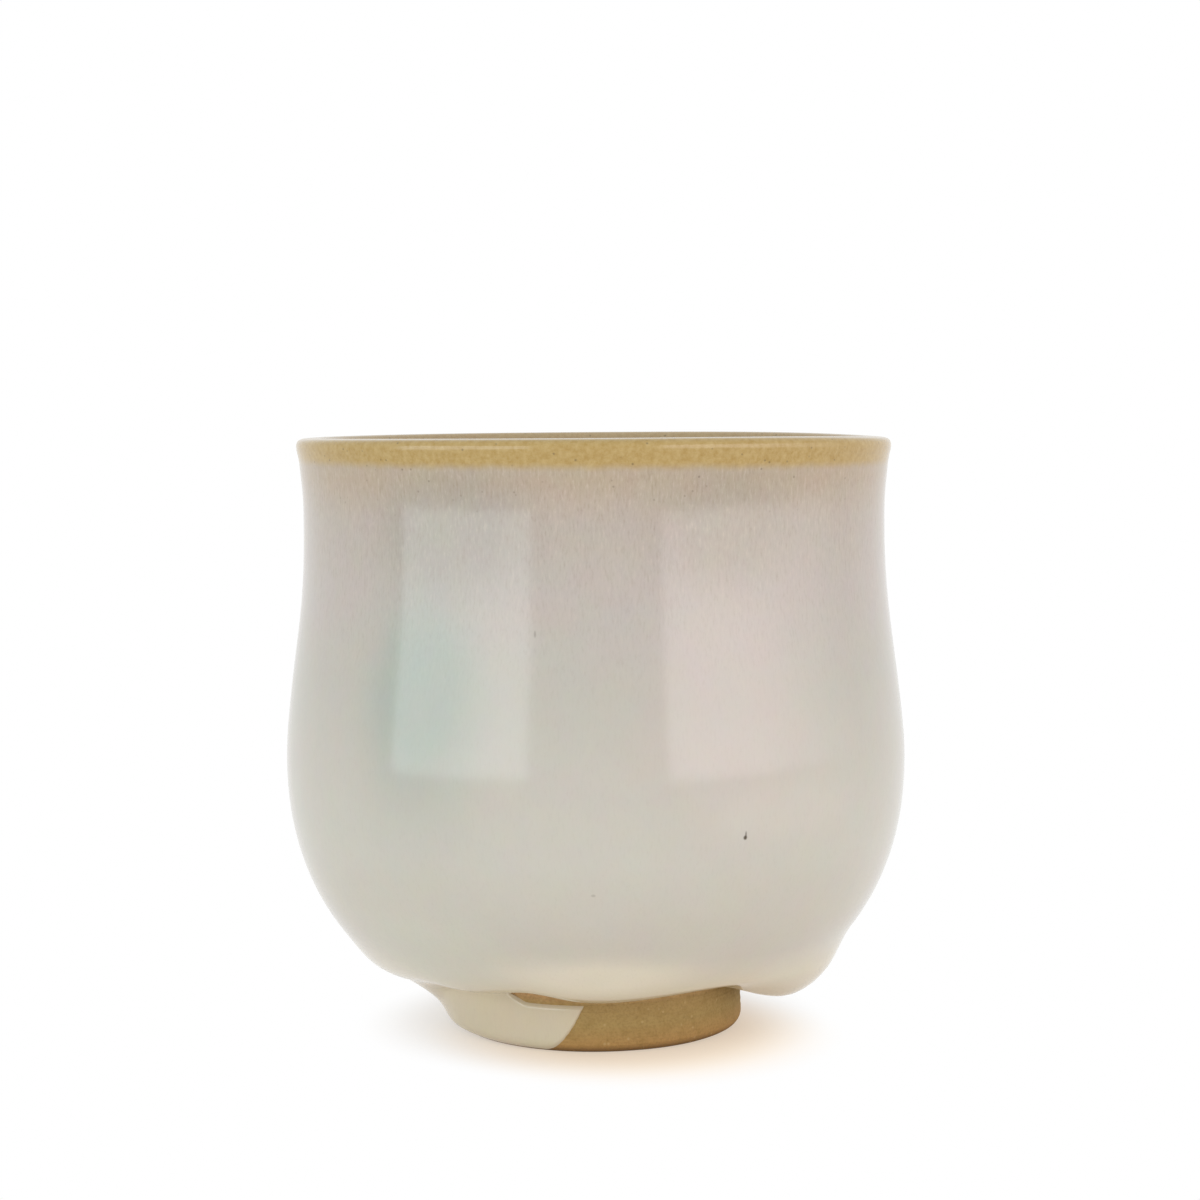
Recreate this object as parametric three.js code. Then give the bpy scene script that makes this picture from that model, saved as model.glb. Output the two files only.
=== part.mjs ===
// A handleless stoneware tea cup: a thrown bowl on a turned foot ring, with its glaze coats.
// Millimetres, +Z up. The origin is the middle of the foot's resting face, and the front faces -Y.
// Angles are in degrees, measured from the front and rising towards +X.

import * as THREE from "three";

const { degToRad, euclideanModulo, inverseLerp, lerp, smoothstep } = THREE.MathUtils;

// Overall height, to the crest of the glazed lip.
const CUP_HEIGHT = 85;

// Outside of the clay, from the lip down to the shoulder. Drops are measured down from the lip's edge.
const LIP_RADIUS = 42;
const BAND_RADIUS = 41.6;
const BAND_DROP = 2.1;
const NECK_RADIUS = 41;
const NECK_DROP = 9;
const SHOULDER_RADIUS = 41.3;
const SHOULDER_DROP = 21.1;

// Outside of the clay, from the belly down. Rises are measured up from the bowl's flat underside.
const BELLY_RADIUS = 43.6;
const BELLY_RISE = 29.6;
const HIP_RADIUS = 40.8;
const HIP_RISE = 14.1;
const TURN_RADIUS = 32.9;
const TURN_RISE = 2.8;

// Clay thickness at the lip, where the wall turns into the floor, and in the middle of the floor.
const LIP_WALL = 2.8;
const BASE_WALL = 5;
const FLOOR_THICKNESS = 4.2;

// Foot ring: outside radius at the table, how much narrower its top is, height, wall and rounded edges.
const FOOT_RADIUS = 20.9;
const FOOT_TAPER = 0.4;
const FOOT_HEIGHT = 9.6;
const FOOT_WALL = 5.2;
const FOOT_ROUND = 0.6;

// Glaze thickness at the ochre band, low on the outside, low on the inside, and in the pool on the floor.
const BAND_COAT = 0.35;
const OUTER_COAT = 1.2;
const INNER_COAT = 0.8;
const POOL_COAT = 1.3;

// The outer glaze stops short of the foot in a roll, which swells and thins by turns round the cup.
const GLAZE_SETBACK = 2;
const ROLL_WAVE = 0.5;
const ROLL_WAVE_COUNT = 5;
const ROLL_EDGE_SHARE = 0.5;

// Where the outer glaze ran and hung in a thick drip before it set: angle, spread and added thickness.
const RIGHT_RUN = { angle: 72, spread: 19, coat: 3.4 };
const LEFT_RUN = { angle: -80, spread: 30, coat: 0.6 };

// Where the roll and the runs begin and where they are full, in stations of the form, from 0 at the lip.
const GATHER_STATION = 5.6;
const ROLL_STATION = 6.5;

// The glaze over the foot: its two tips, how far its ends slant, its top edge and its gap to its neighbours.
const FOOT_GLAZE_RIGHT = -5;
const FOOT_GLAZE_LEFT = -130;
const FOOT_GLAZE_SLANT = 16;
const FOOT_GLAZE_TOP = 6.8;
const FOOT_GLAZE_GAP = 0.1;

// Facets: round the cup, down each stretch of the form, over the lip, on an edge and on the foot glaze.
const TURN_STEPS = 48;
const STRETCH_ROWS = [1, 1, 2, 2, 3, 3, 4];
const LIP_STEPS = 6;
const EDGE_STEPS = 3;
const FOOT_GLAZE_STEPS = 32;
const FOOT_GLAZE_ROWS = 6;

const CLAY = { color: "#a88f5c", roughness: 0.85, metalness: 0 };
const PALE_GLAZE = { color: "#cac4b9", roughness: 0.18, metalness: 0 };
const OCHRE_GLAZE = { color: "#c8af73", roughness: 0.3, metalness: 0 };

// The form: one curve down the outside of the clay, from the lip to the edge of the flat underside.
const lipHeight = CUP_HEIGHT - BAND_COAT - LIP_WALL / 2;
const footTopRadius = FOOT_RADIUS - FOOT_TAPER;
const baseRadius = footTopRadius + GLAZE_SETBACK;
const form = new THREE.SplineCurve([
  new THREE.Vector2(LIP_RADIUS, lipHeight),
  new THREE.Vector2(BAND_RADIUS, lipHeight - BAND_DROP),
  new THREE.Vector2(NECK_RADIUS, lipHeight - NECK_DROP),
  new THREE.Vector2(SHOULDER_RADIUS, lipHeight - SHOULDER_DROP),
  new THREE.Vector2(BELLY_RADIUS, FOOT_HEIGHT + BELLY_RISE),
  new THREE.Vector2(HIP_RADIUS, FOOT_HEIGHT + HIP_RISE),
  new THREE.Vector2(TURN_RADIUS, FOOT_HEIGHT + TURN_RISE),
  new THREE.Vector2(baseRadius, FOOT_HEIGHT),
]);
const stretches = STRETCH_ROWS.length;
const bandAt = 1 / stretches;
const gatherAt = GATHER_STATION / stretches;
const rollAt = ROLL_STATION / stretches;

// Places along the form, from 0 at the lip to 1 at the base, where the clay and its coats share corners.
const rows = STRETCH_ROWS.flatMap((count, stretch) =>
  Array.from({ length: count }, (_, step) => (stretch + (step + 1) / count) / stretches));
const bandRows = rows.slice(0, STRETCH_ROWS[0]);
const bodyRows = rows.slice(STRETCH_ROWS[0] - 1);

// Points of a section are (radius, height). A positive lift stands out from the form, away from the clay.
function onOutside(place, lift = 0) {
  const along = form.getTangent(place);
  return form.getPoint(place).addScaledVector(new THREE.Vector2(-along.y, along.x), lift);
}

function onInside(place, lift = 0) {
  return onOutside(place, -lerp(LIP_WALL, BASE_WALL, place) - lift);
}

// The round of the lip, from its outer edge over the crest to its inner edge.
function overLip(lift = 0) {
  const reach = LIP_WALL / 2 + lift;
  return Array.from({ length: LIP_STEPS + 1 }, (_, step) => {
    const angle = (Math.PI * step) / LIP_STEPS;
    return new THREE.Vector2(
      LIP_RADIUS - LIP_WALL / 2 + reach * Math.cos(angle),
      lipHeight + reach * Math.sin(angle),
    );
  });
}

// A solid turned about the cup's axis between two angles. Its section may change on the way round.
function turned(sectionAt, from = 0, to = 360, steps = TURN_STEPS) {
  const geometry = new THREE.LatheGeometry(sectionAt(from), steps);
  const position = geometry.getAttribute("position");
  for (let step = 0; step <= steps; step += 1) {
    const angle = lerp(from, to, step / steps);
    const sine = Math.sin(degToRad(angle));
    const cosine = Math.cos(degToRad(angle));
    sectionAt(angle).forEach((point, row, section) => {
      position.setXYZ(step * section.length + row, point.x * sine, point.y, point.x * cosine);
    });
  }
  geometry.computeVertexNormals();
  return geometry.rotateX(Math.PI / 2);
}

// The bowl is thrown in one piece: underside, wall, lip, inside and floor.
function thrownBowl() {
  const section = [
    new THREE.Vector2(0, FOOT_HEIGHT),
    ...rows.map((place) => onOutside(place)).reverse(),
    ...overLip(),
    ...rows.map((place) => onInside(place)),
    new THREE.Vector2(0, FOOT_HEIGHT + FLOOR_THICKNESS),
  ];
  return turned(() => section);
}

// A quarter round at one of the foot's lower edges, between two angles about its centre.
function footEdge(radius, fromAngle, toAngle) {
  return Array.from({ length: EDGE_STEPS + 1 }, (_, step) => {
    const angle = degToRad(lerp(fromAngle, toAngle, step / EDGE_STEPS));
    return new THREE.Vector2(
      radius + FOOT_ROUND * Math.cos(angle),
      FOOT_ROUND + FOOT_ROUND * Math.sin(angle),
    );
  });
}

// The foot ring has a slightly tapered outside, and stands on a flat face between two rounded edges.
function footRing() {
  const innerRadius = FOOT_RADIUS - FOOT_WALL;
  const section = [
    ...footEdge(innerRadius + FOOT_ROUND, 180, 270),
    ...footEdge(FOOT_RADIUS - FOOT_ROUND, 270, 360),
    new THREE.Vector2(footTopRadius, FOOT_HEIGHT),
    new THREE.Vector2(innerRadius, FOOT_HEIGHT),
    new THREE.Vector2(innerRadius, FOOT_ROUND),
  ];
  return turned(() => section);
}

// A run's share at an angle: whole along its middle, fading away to both sides.
function runShare(run, angle) {
  const aside = euclideanModulo(angle - run.angle + 180, 360) - 180;
  return Math.exp(-((aside / run.spread) ** 2));
}

// The outer glaze thickens on its way down, gathers in the roll and the runs, and rounds off at its edge.
function outerCoat(place, angle) {
  const coat = lerp(BAND_COAT, OUTER_COAT, inverseLerp(bandAt, 1, place));
  const roll = ROLL_WAVE * Math.cos(degToRad(ROLL_WAVE_COUNT * angle));
  const runs = [RIGHT_RUN, LEFT_RUN].reduce((sum, run) => sum + run.coat * runShare(run, angle), 0);
  const gathered = smoothstep(place, gatherAt, rollAt);
  const edge = place < 1 ? 1 : ROLL_EDGE_SHARE;
  return edge * (coat + gathered * (roll + runs));
}

function outerGlaze() {
  const clay = bodyRows.map((place) => onOutside(place));
  return turned((angle) => [
    clay.at(-1),
    ...bodyRows.map((place) => onOutside(place, outerCoat(place, angle))).reverse(),
    ...clay,
  ]);
}

// The ochre glaze wraps the lip and ends level with the band outside and inside.
function rimGlaze() {
  const clay = [
    ...bandRows.map((place) => onInside(place)).reverse(),
    ...overLip().reverse(),
    ...bandRows.map((place) => onOutside(place)),
  ];
  const section = [
    clay.at(-1),
    ...bandRows.map((place) => onOutside(place, BAND_COAT)).reverse(),
    ...overLip(BAND_COAT),
    ...bandRows.map((place) => onInside(place, BAND_COAT)),
    ...clay,
  ];
  return turned(() => section);
}

// The liner covers the inside below the band and lies deepest on the floor.
function innerGlaze() {
  const floor = FOOT_HEIGHT + FLOOR_THICKNESS;
  const coat = (place) => lerp(BAND_COAT, INNER_COAT, inverseLerp(bandAt, 1, place));
  const section = [
    new THREE.Vector2(0, floor),
    ...bodyRows.map((place) => onInside(place)).reverse(),
    ...bodyRows.map((place) => onInside(place, coat(place))),
    new THREE.Vector2(0, floor + POOL_COAT),
  ];
  return turned(() => section);
}

// The glaze on the foot is a swelling skin over the side of the ring. Both ends slant up to a tip.
function footGlaze() {
  const thickness = GLAZE_SETBACK - 2 * FOOT_GLAZE_GAP;
  const sideRadius = (height) =>
    lerp(FOOT_RADIUS, footTopRadius, inverseLerp(FOOT_ROUND, FOOT_HEIGHT, height));
  const sectionAt = (angle) => {
    const fromTip = Math.min(FOOT_GLAZE_RIGHT - angle, angle - FOOT_GLAZE_LEFT);
    const closed = (1 - Math.min(fromTip / FOOT_GLAZE_SLANT, 1)) ** 2;
    const low = lerp(FOOT_ROUND, FOOT_GLAZE_TOP, closed);
    const skin = Array.from({ length: FOOT_GLAZE_ROWS + 1 }, (_, row) => {
      const sweep = (Math.PI * row) / FOOT_GLAZE_ROWS;
      const height = lerp(low, FOOT_GLAZE_TOP, (1 - Math.cos(sweep)) / 2);
      const swell = thickness * (1 - closed) * Math.sin(sweep);
      return new THREE.Vector2(sideRadius(height) + FOOT_GLAZE_GAP + swell, height);
    });
    return [...skin, skin[0]];
  };
  return turned(sectionAt, FOOT_GLAZE_LEFT, FOOT_GLAZE_RIGHT, FOOT_GLAZE_STEPS);
}

const cup = new THREE.Group();
const pieces = [
  ["thrown_bowl", thrownBowl(), CLAY],
  ["foot_ring", footRing(), CLAY],
  ["outer_glaze", outerGlaze(), PALE_GLAZE],
  ["rim_glaze", rimGlaze(), OCHRE_GLAZE],
  ["inner_glaze", innerGlaze(), PALE_GLAZE],
  ["foot_glaze", footGlaze(), PALE_GLAZE],
];
for (const [name, geometry, finish] of pieces) {
  const mesh = new THREE.Mesh(geometry, new THREE.MeshStandardMaterial(finish));
  mesh.name = name;
  cup.add(mesh);
}

export default cup;
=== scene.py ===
# %% [markdown]
# # A thrown tea cup
# The real cup is thrown on a wheel from sandy stoneware, turned on its foot, dipped in a milky
# glaze and fired until the glaze runs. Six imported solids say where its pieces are. They are kept
# plain, so this lesson builds each piece again, with the detail that the eye looks for.
# Everything lies in the frame of those solids, so nothing has to be fitted afterwards.

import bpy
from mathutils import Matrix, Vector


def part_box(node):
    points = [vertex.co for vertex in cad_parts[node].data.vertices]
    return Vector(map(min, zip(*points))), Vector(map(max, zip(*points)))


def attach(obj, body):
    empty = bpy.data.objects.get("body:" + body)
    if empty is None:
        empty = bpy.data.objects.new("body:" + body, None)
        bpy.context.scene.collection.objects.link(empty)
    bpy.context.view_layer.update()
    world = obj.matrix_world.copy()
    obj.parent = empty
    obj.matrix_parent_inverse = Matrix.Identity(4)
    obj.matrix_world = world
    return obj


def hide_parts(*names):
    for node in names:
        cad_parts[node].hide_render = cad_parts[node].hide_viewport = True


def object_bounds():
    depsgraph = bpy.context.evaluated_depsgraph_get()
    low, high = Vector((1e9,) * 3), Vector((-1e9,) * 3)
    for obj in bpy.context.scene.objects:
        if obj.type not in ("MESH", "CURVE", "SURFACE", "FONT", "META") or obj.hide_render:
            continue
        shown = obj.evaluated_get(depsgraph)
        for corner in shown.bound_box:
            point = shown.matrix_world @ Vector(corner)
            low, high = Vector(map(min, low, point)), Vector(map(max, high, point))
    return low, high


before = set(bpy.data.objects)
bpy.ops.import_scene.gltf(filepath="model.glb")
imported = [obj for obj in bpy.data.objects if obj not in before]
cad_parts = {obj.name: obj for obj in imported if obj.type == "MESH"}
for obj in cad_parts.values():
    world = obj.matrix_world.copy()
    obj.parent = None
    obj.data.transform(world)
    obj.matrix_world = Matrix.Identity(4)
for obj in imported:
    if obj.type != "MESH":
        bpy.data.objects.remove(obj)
cad_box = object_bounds()
print("Solids in the frame:", ", ".join(sorted(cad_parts)))

# %% [markdown]
# ## Sizes in a potter's units
# A potter thinks in millimetres and Blender in metres, so one value stands between the two. Sizes
# in this lesson are in millimetres, unless a comment says otherwise. Those that the solids show
# directly could be typed again, but measured on the frame they stay true to it. The rest of the
# form follows further down, where it is first needed.

# %% Measure the frame
MM = 0.001  # metres
foot_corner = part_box("foot_ring")[1]
CUP_HEIGHT = round(cad_box[1].z / MM, 2)
FOOT_RADIUS = round(foot_corner.x / MM, 2)
FOOT_HEIGHT = round(foot_corner.z / MM, 2)
print(f"Cup {CUP_HEIGHT} mm high, foot {FOOT_HEIGHT} mm high, {FOOT_RADIUS} mm in radius")

# %% [markdown]
# ## The camera
# The photograph was taken from close by, a little above the lip and pointing slightly down. A lens
# and a place could be guessed by eye. Here both were worked out from the ellipses of the lip and
# the foot, which only one distance and one tilt can give together. The picture is square.

# %% Set up the camera
import math

import bpy
from mathutils import Matrix, Vector

CAMERA_PLACE = Vector((0.76, -369.6, 88.97))
CAMERA_PITCH = 4.29  # degrees down from level
CAMERA_ROLL = 0.4  # degrees
CAMERA_LENS = 77.17  # millimetres, on Blender's own 36 mm sensor

camera = bpy.data.objects.new("camera", bpy.data.cameras.new("camera"))
camera.data.lens = CAMERA_LENS
camera.matrix_world = (
    Matrix.Translation(CAMERA_PLACE * MM)
    @ Matrix.Rotation(math.radians(90 - CAMERA_PITCH), 4, "X")
    @ Matrix.Rotation(math.radians(-CAMERA_ROLL), 4, "Z")
)
bpy.context.scene.collection.objects.link(camera)
bpy.context.scene.camera = camera
print(f"Camera {CAMERA_PLACE.length:.0f} mm from the foot")

# %% [markdown]
# ## The form
# The outside of the clay is one flowing line: a lip that leans out, a drawn-in neck, a full belly
# and a quick turn under to the foot. It could be drawn as a Bezier curve object. A spline through a
# few named stations is easier to check against the solids, because it uses the same ones. A place
# on the form runs from 0 at the lip to 1 at the edge of the flat underside.

# %% Draw the form
from bl_math import lerp

LIP_RADIUS = 42.0
LIP_WALL = 2.8
BASE_WALL = 5.0
BAND_COAT = 0.35  # glaze at the ochre band
GLAZE_SETBACK = 2.0  # from the foot to the edge of the glaze
FOOT_TAPER = 0.4

lip_height = CUP_HEIGHT - BAND_COAT - LIP_WALL / 2
foot_top_radius = FOOT_RADIUS - FOOT_TAPER
STATIONS = [
    Vector((LIP_RADIUS, lip_height)),
    Vector((41.6, lip_height - 2.1)),  # band
    Vector((41.0, lip_height - 9.0)),  # neck
    Vector((41.3, lip_height - 21.1)),  # shoulder
    Vector((43.6, FOOT_HEIGHT + 29.6)),  # belly
    Vector((40.8, FOOT_HEIGHT + 14.1)),  # hip
    Vector((32.9, FOOT_HEIGHT + 2.8)),  # turn
    Vector((foot_top_radius + GLAZE_SETBACK, FOOT_HEIGHT)),  # edge of the underside
]
STRETCHES = len(STATIONS) - 1
BAND = 1 / STRETCHES
FORM_ROWS = 300  # enough to measure the form by


def on_outside(place, lift=0.0):
    """Radius and height on the outside of the clay, or lifted off it along its outward normal."""
    stretch = min(int(place * STRETCHES), STRETCHES - 1)
    along = place * STRETCHES - stretch
    before, start, end, after = (
        STATIONS[min(max(stretch + step, 0), STRETCHES)] for step in (-1, 0, 1, 2)
    )
    slope = end - before
    bend = 2 * before - 5 * start + 4 * end - after
    twist = 3 * (start - end) + after - before
    point = start + (slope * along + bend * along**2 + twist * along**3) / 2
    heading = (slope + 2 * bend * along + 3 * twist * along**2).normalized()
    return point + lift * Vector((-heading.y, heading.x))


def places(low, high, rows):
    """Evenly spaced places on the form, or heights or angles, both ends included."""
    return [lerp(low, high, row / rows) for row in range(rows + 1)]


belly = max(on_outside(place).x for place in places(0, 1, FORM_ROWS))
print(f"Clay is {2 * belly:.1f} mm across at the belly")

# %% [markdown]
# ## Turning a section on the wheel
# A wheel makes a section go round, and Blender's spin operator does the same to a chain of edges.
# A Screw modifier could do it too, but glaze isn't the same all the way round: it gathers and runs.
# So each vertex remembers its row in the section, and after the spin it moves to where the section
# for its own angle has that row. Angles are in degrees, 0 at the front and rising to the right.
# No thrown rim stays quite level in the kiln: this one sinks a little at its sides.

# %% Spin a changing section
import bmesh
from bl_math import smoothstep

RIM_DIP = 0.3  # how far the rim sinks at its sides
RIM_TILT = 0.17  # how much more than that it sinks at the right, and less at the left
DIP_POWER = 4  # the higher, the closer to the sides the dip stays
DIP_FROM = 60.0  # the height above which the wall sinks with the rim


def around(point, angle):
    """A point of a section, placed at an angle round the cup."""
    turn = math.radians(angle)
    return Vector((point.x * math.sin(turn), -point.x * math.cos(turn), point.y))


def sunk(point, angle):
    """A point of a section, moved down with the rim as it has sunk at that angle."""
    aside = math.sin(math.radians(angle))
    dip = (RIM_DIP + RIM_TILT * aside) * aside**DIP_POWER
    return point - Vector((0, dip * smoothstep(DIP_FROM, CUP_HEIGHT, point.y)))


def spun(section_at, steps, start=0.0, sweep=360.0):
    """A bmesh in millimetres: the section spun about the cup's axis, reshaped at every angle."""
    shell = bmesh.new()
    row_of = shell.verts.layers.int.new("row")
    chain = [shell.verts.new(around(point, start)) for point in section_at(start)]
    for row, vert in enumerate(chain):
        vert[row_of] = row
    edges = [shell.edges.new(pair) for pair in zip(chain, chain[1:])]
    bmesh.ops.spin(
        shell,
        geom=chain + edges,
        axis=(0, 0, 1),
        angle=math.radians(sweep),
        steps=steps,
        use_merge=sweep == 360,
    )
    sections = [section_at(start + sweep * step / steps) for step in range(steps + 1)]
    half_step = sweep / steps / 2
    for vert in shell.verts:
        turned = math.degrees(math.atan2(vert.co.x, -vert.co.y)) - start
        step = int((turned + half_step) % 360 / sweep * steps)
        angle = start + sweep * step / steps
        vert.co = around(sunk(sections[step][vert[row_of]], angle), angle)
    return shell


# %% [markdown]
# ## From bmesh to a piece of the cup
# Where a section meets the axis or closes on itself, the spin leaves vertices on top of each other.
# They are merged first, and then the normals are turned outwards, because a torn seam would fool
# that step. Faces are shaded smooth, and edges that are really sharp are kept sharp. The piece then
# stands for its plain solid and rides on the cup's only body.

# %% Make a piece
SHARP_ANGLE = 50  # degrees
MERGE_DISTANCE = 0.0001


def make_piece(name, shell, node):
    """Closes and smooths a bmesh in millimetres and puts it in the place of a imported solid."""
    bmesh.ops.remove_doubles(shell, verts=shell.verts, dist=MERGE_DISTANCE)
    bmesh.ops.dissolve_degenerate(shell, edges=shell.edges, dist=MERGE_DISTANCE)
    bmesh.ops.recalc_face_normals(shell, faces=shell.faces)
    for face in shell.faces:
        face.smooth = True
    bmesh.ops.scale(shell, vec=(MM, MM, MM), verts=shell.verts)
    open_edges = sum(not edge.is_manifold for edge in shell.edges)
    mesh = bpy.data.meshes.new(name)
    shell.to_mesh(mesh)
    shell.free()
    mesh.set_sharp_from_angle(angle=math.radians(SHARP_ANGLE))
    piece = bpy.data.objects.new(name, mesh)
    bpy.context.scene.collection.objects.link(piece)
    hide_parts(node)
    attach(piece, "root")
    print(f"{name}: {len(mesh.polygons)} faces, {open_edges} open edges")
    return piece


# %% [markdown]
# ## The thrown bowl
# The bowl is pulled up in one piece: wall, lip, inside and floor. Glaze hides nearly all of it, but
# the turned underside shows inside the foot and as a thin line of bare clay above it. The turning
# tool leaves a shallow spiral there, so the underside is modelled with one. A bump texture could
# fake it, but a low side light would give that away.

# %% Spin the bowl
FLOOR_THICKNESS = 4.2
TURN_STEPS = 180
LIP_ROWS = 25
LIP_FROM, LIP_TO = 0, 174  # degrees over the round of the lip, from outside to inside
LIP_POWER = 0.6  # 1 is a half round, and less is squarer
LIP_LEAN = 0.1  # how far its crest leans out, as a share of its height
LIP_SLOPE = 0.09  # how fast its top falls away to the outside
LIP_INNER = 1.1  # how much wider its inner half is, to meet the wall
LIP_START = 0.06  # the place on the form where the round of the lip begins and ends
SPIRAL_PITCH = 2.4
SPIRAL_DEPTH = 0.09
UNDERSIDE_ROWS, OUTSIDE_ROWS, INSIDE_ROWS = 60, 40, 36


def on_inside(place, lift=0.0):
    """Radius and height on the inside of the clay, or lifted off it into the cup."""
    return on_outside(place, -lerp(LIP_WALL, BASE_WALL, place) - lift)


def squared(share):
    """A sine or cosine pushed outwards, so that a circle turns into a rounded square."""
    return math.copysign(abs(share) ** LIP_POWER, share)


def over_lip(lift=0.0):
    """The lip from its outside over the crest to its inside: tight rounds and a sloping top."""
    middle = Vector((LIP_RADIUS - LIP_WALL / 2, lip_height))
    reach = LIP_WALL / 2 + lift
    crest = []
    for angle in places(LIP_FROM, LIP_TO, LIP_ROWS):
        rise = squared(math.sin(math.radians(angle)))
        aside = squared(math.cos(math.radians(angle))) + LIP_LEAN * rise
        rise *= 1 - LIP_SLOPE * aside
        crest.append(middle + reach * Vector((min(aside, LIP_INNER * aside), rise)))
    return crest


def bowl_section(angle):
    """From the middle of the underside up the outside, over the lip and down to the floor."""
    edge = on_outside(1)
    underside = []
    for row in range(UNDERSIDE_ROWS):
        radius = edge.x * row / UNDERSIDE_ROWS
        groove = math.sin(2 * math.pi * (radius / SPIRAL_PITCH - angle / 360))
        fade = smoothstep(0, SPIRAL_PITCH, radius)
        fade *= smoothstep(edge.x, edge.x - SPIRAL_PITCH, radius)
        underside.append(Vector((radius, edge.y - SPIRAL_DEPTH * fade * (1 + groove))))
    return [
        *underside,
        *(on_outside(place) for place in places(1, LIP_START, OUTSIDE_ROWS)),
        *over_lip(),
        *(on_inside(place) for place in places(LIP_START, 1, INSIDE_ROWS)),
        Vector((0, FOOT_HEIGHT + FLOOR_THICKNESS)),
    ]


bowl = make_piece("thrown_bowl_clay", spun(bowl_section, TURN_STEPS), "thrown_bowl")

# %% [markdown]
# ## The foot ring
# The foot is turned from the same clay when the bowl is leather hard. Its side tapers a little, its
# face is flat, and a wet finger softens the two edges that meet the table. The ring is a spun
# rectangle, and the bevel operator rounds those two edges. Faint ridges from the turning tool run
# round its side, a little uneven, as a hand leaves them.

# %% Spin the foot ring
from mathutils import noise

FOOT_WALL = 5.2
FOOT_ROUND = 1.8
FOOT_ROUND_SEGMENTS = 8
FOOT_SIDE_FROM = 2.0  # the lowest row, clear of the rounded edge
FOOT_SIDE_ROWS = 30
TOOL_RIDGE = 0.03
TOOL_RIDGE_PITCH = 1.1
FOOT_WANDER = 0.08
FOOT_WANDER_SIZE = 9.0


def foot_side(height, angle):
    """Outside radius of the foot, with its slow unevenness."""
    spot = around(Vector((FOOT_RADIUS, height)), angle)
    wander = FOOT_WANDER * noise.noise(spot / FOOT_WANDER_SIZE)
    return lerp(FOOT_RADIUS, foot_top_radius, height / FOOT_HEIGHT) + wander


def foot_section(angle):
    """All round the ring's cut face, with the tool's ridges on its outside."""
    side = []
    for height in [0.0, *places(FOOT_SIDE_FROM, FOOT_HEIGHT, FOOT_SIDE_ROWS)]:
        ridge = math.sin(2 * math.pi * (height / TOOL_RIDGE_PITCH + angle / 360))
        side.append(Vector((foot_side(height, angle) + TOOL_RIDGE * ridge, height)))
    inner_radius = FOOT_RADIUS - FOOT_WALL
    return [*side, Vector((inner_radius, FOOT_HEIGHT)), Vector((inner_radius, 0)), side[0]]


foot_shell = spun(foot_section, TURN_STEPS)
bmesh.ops.remove_doubles(foot_shell, verts=foot_shell.verts, dist=MERGE_DISTANCE)
# Edges round the two standing circles are short. Those across the face are as long as the wall.
standing_edges = [
    edge
    for edge in foot_shell.edges
    if all(vert.co.z < MERGE_DISTANCE for vert in edge.verts) and edge.calc_length() < FOOT_WALL / 2
]
bmesh.ops.bevel(
    foot_shell,
    geom=standing_edges,
    offset=FOOT_ROUND,
    segments=FOOT_ROUND_SEGMENTS,
    profile=0.5,
    affect="EDGES",
    material=-1,
)
foot = make_piece("foot_ring_clay", foot_shell, "foot_ring")

# %% [markdown]
# ## The outer glaze
# Fired this hot, the glaze creeps down the wall and gathers just above the foot in a fat roll, in
# places in a hanging drip. A fluid simulation could make such a shape, but not with the drip where
# this cup has it. Here the coat's thickness is a plain function of the place and the angle: thin at
# the band, thicker below, with a wavy roll, a few runs and a rounded bead for an edge. A slow
# unevenness makes reflections waver, as they do on a dipped and fired surface.

# %% Shape the outer glaze
OUTER_COAT = 1.2
ROLL_WAVE = 0.5
ROLL_WAVE_COUNT = 5
GATHER_FROM, GATHER_TO = 5.6 / STRETCHES, 6.5 / STRETCHES  # places between which the roll grows
RUNS = [
    {"angle": 72, "spread": 19, "coat": 3.4},  # the hanging drip
    {"angle": -17, "spread": 9, "coat": -0.7},  # drained above the bare wedge
    {"angle": -36, "spread": 9, "coat": 0.6},  # the start of the slump over the foot
    {"angle": -85, "spread": 25, "coat": 0.8},  # its fattest part
]
BEAD_SHARE = 1.3  # width of the rounded edge, in coat thicknesses
EDGE_STRETCH = 73.0  # millimetres of form to a whole unit of place, near the edge
UNEVEN = 0.045
UNEVEN_SIZE = 13.0
WALL_ROWS, BEAD_ROWS, BACK_ROWS = 64, 10, 24


def outer_thickness(place, angle):
    """How thick the coat is at a place on the form and an angle round the cup."""
    coat = lerp(BAND_COAT, OUTER_COAT, (place - BAND) / (1 - BAND))
    gathered = ROLL_WAVE * math.cos(math.radians(ROLL_WAVE_COUNT * angle))
    for run in RUNS:
        aside = (angle - run["angle"] + 180) % 360 - 180
        gathered += run["coat"] * math.exp(-((aside / run["spread"]) ** 2))
    spot = around(on_outside(place), angle)
    uneven = UNEVEN * noise.noise(spot / UNEVEN_SIZE) * smoothstep(BAND, 2 * BAND, place)
    return coat + uneven + smoothstep(GATHER_FROM, GATHER_TO, place) * gathered


def outer_section(angle):
    """Down the coat's outside, round its bead and back up along the clay."""
    bead_from = 1 - BEAD_SHARE * outer_thickness(1, angle) / EDGE_STRETCH
    wall = [
        on_outside(place, outer_thickness(place, angle))
        for place in places(BAND, bead_from, WALL_ROWS)
    ]
    bead = []
    for row in range(1, BEAD_ROWS + 1):
        turn = math.pi / 2 * row / BEAD_ROWS
        place = lerp(bead_from, 1, math.sin(turn))
        bead.append(on_outside(place, outer_thickness(place, angle) * math.cos(turn)))
    clay = [on_outside(place) for place in places(1, BAND, BACK_ROWS)]
    return [*wall, *bead, *clay, wall[0]]


outer = make_piece("outer_glaze_coat", spun(outer_section, TURN_STEPS), "outer_glaze")

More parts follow.
